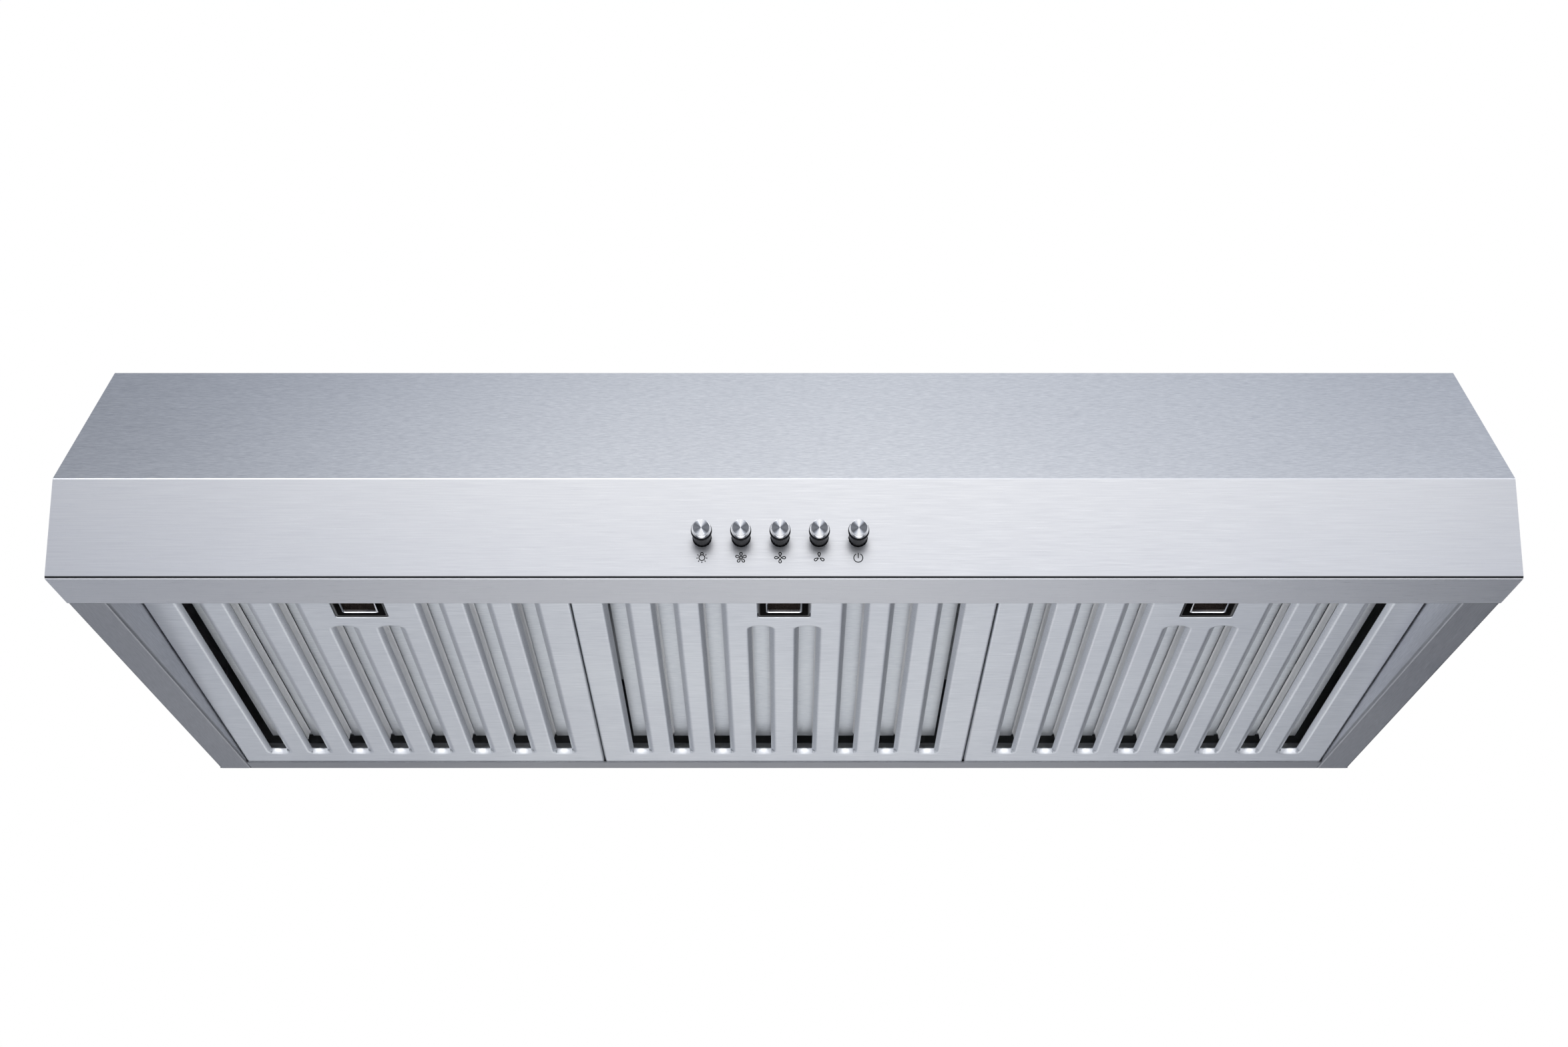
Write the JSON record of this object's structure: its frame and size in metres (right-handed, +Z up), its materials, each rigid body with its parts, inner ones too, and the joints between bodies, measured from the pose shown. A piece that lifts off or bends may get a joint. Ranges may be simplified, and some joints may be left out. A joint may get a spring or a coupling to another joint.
{
  "type": "under cabinet range hood",
  "caption": "Stainless steel under-cabinet range hood with sloped front, push buttons, slotted baffle filters and a duct collar.",
  "frame": {"origin": "centre of the top panel's upper face, where the hood meets the cabinet above it", "axes": "+X to the viewer's right along the width, +Y from the front to the wall, +Z up"},
  "size_m": [0.755, 0.4745, 0.1918],
  "materials": {
    "steel": "fine brushed",
    "galvanised": "galvanised, dull",
    "chrome": "polished",
    "black": "satin black",
    "grey": "moulded grey",
    "copper": "lacquered winding",
    "iron": "painted motor metal",
    "lens": "frosted lens"
  },
  "bodies": {
    "housing": {"front_panel": "steel", "side_panel_left": "steel", "side_panel_right": "steel", "back_panel": "steel", "top_panel": "steel", "lamp_panel": "steel", "switch_body": "grey", "switch_bracket": "galvanised", "lamp_housing_left": "chrome", "lamp_housing_right": "chrome", "lamp_lens_left": "lens", "lamp_lens_right": "lens", "lamp_driver": "grey", "scroll_left": "galvanised", "scroll_right": "galvanised", "inlet_ring_left": "black", "inlet_ring_right": "black", "motor_can": "iron", "motor_bell_left": "iron", "motor_bell_right": "iron", "bearing_left": "chrome", "bearing_right": "chrome", "stator": "copper", "motor_strap": "galvanised", "run_capacitor": "black", "duct_collar": "galvanised", "damper_rod": "chrome", "junction_box": "galvanised", "junction_cover": "galvanised"},
    "blower_rotor": {"motor_shaft": "chrome", "rotor_core": "iron", "impeller_left": "grey", "impeller_right": "grey"},
    "damper_front": {"damper_flap_front": "galvanised"},
    "damper_rear": {"damper_flap_rear": "galvanised"},
    "button_light": {"button_light": "black", "cap_light": "chrome"},
    "button_high": {"button_high": "black", "cap_high": "chrome"},
    "button_medium": {"button_medium": "black", "cap_medium": "chrome"},
    "button_low": {"button_low": "black", "cap_low": "chrome"},
    "button_power": {"button_power": "black", "cap_power": "chrome"},
    "filter_left": {"filter_tray_left": "steel", "filter_baffle_left": "steel", "latch_case_left": "black"},
    "latch_left": {"latch_slider_left": "chrome"},
    "filter_middle": {"filter_tray_middle": "steel", "filter_baffle_middle": "steel", "latch_case_middle": "black"},
    "latch_middle": {"latch_slider_middle": "chrome"},
    "filter_right": {"filter_tray_right": "steel", "filter_baffle_right": "steel", "latch_case_right": "black"},
    "latch_right": {"latch_slider_right": "chrome"}
  },
  "joints": [
    {"name": "press_light", "type": "slide", "parent": "housing", "child": "button_light", "axis": [0, 1, 0], "range_m": [0, 0.0045], "stiffness_N_per_m": 400, "springref_m": -0.0015},
    {"name": "press_high", "type": "slide", "parent": "housing", "child": "button_high", "axis": [0, 1, 0], "range_m": [0, 0.0045], "stiffness_N_per_m": 400, "springref_m": -0.0015},
    {"name": "press_medium", "type": "slide", "parent": "housing", "child": "button_medium", "axis": [0, 1, 0], "range_m": [0, 0.0045], "stiffness_N_per_m": 400, "springref_m": -0.0015},
    {"name": "press_low", "type": "slide", "parent": "housing", "child": "button_low", "axis": [0, 1, 0], "range_m": [0, 0.0045], "stiffness_N_per_m": 400, "springref_m": -0.0015},
    {"name": "press_power", "type": "slide", "parent": "housing", "child": "button_power", "axis": [0, 1, 0], "range_m": [0, 0.0045], "stiffness_N_per_m": 400, "springref_m": -0.0015},
    {"name": "filter_swing_left", "type": "hinge", "parent": "housing", "child": "filter_left", "pos_m": [0, 0.20965, -0.151], "axis": [1, 0, 0], "range_deg": [0, 70]},
    {"name": "latch_slide_left", "type": "slide", "parent": "filter_left", "child": "latch_left", "axis": [0, 0.998, -0.0628], "range_m": [0, 0.0052], "stiffness_N_per_m": 350, "springref_m": -0.002},
    {"name": "filter_swing_middle", "type": "hinge", "parent": "housing", "child": "filter_middle", "pos_m": [0, 0.20965, -0.151], "axis": [1, 0, 0], "range_deg": [0, 70]},
    {"name": "latch_slide_middle", "type": "slide", "parent": "filter_middle", "child": "latch_middle", "axis": [0, 0.998, -0.0628], "range_m": [0, 0.0052], "stiffness_N_per_m": 350, "springref_m": -0.002},
    {"name": "filter_swing_right", "type": "hinge", "parent": "housing", "child": "filter_right", "pos_m": [0, 0.20965, -0.151], "axis": [1, 0, 0], "range_deg": [0, 70]},
    {"name": "latch_slide_right", "type": "slide", "parent": "filter_right", "child": "latch_right", "axis": [0, 0.998, -0.0628], "range_m": [0, 0.0052], "stiffness_N_per_m": 350, "springref_m": -0.002},
    {"name": "blower_spin", "type": "hinge", "parent": "housing", "child": "blower_rotor", "pos_m": [0, 0.07875, -0.0555], "axis": [1, 0, 0], "continuous": true},
    {"name": "damper_lift_front", "type": "hinge", "parent": "housing", "child": "damper_front", "pos_m": [0, 0.11375, 0.018], "axis": [-1, 0, 0], "range_deg": [0, 75]},
    {"name": "damper_lift_rear", "type": "hinge", "parent": "housing", "child": "damper_rear", "pos_m": [0, 0.11375, 0.018], "axis": [1, 0, 0], "range_deg": [0, 75]}
  ]
}
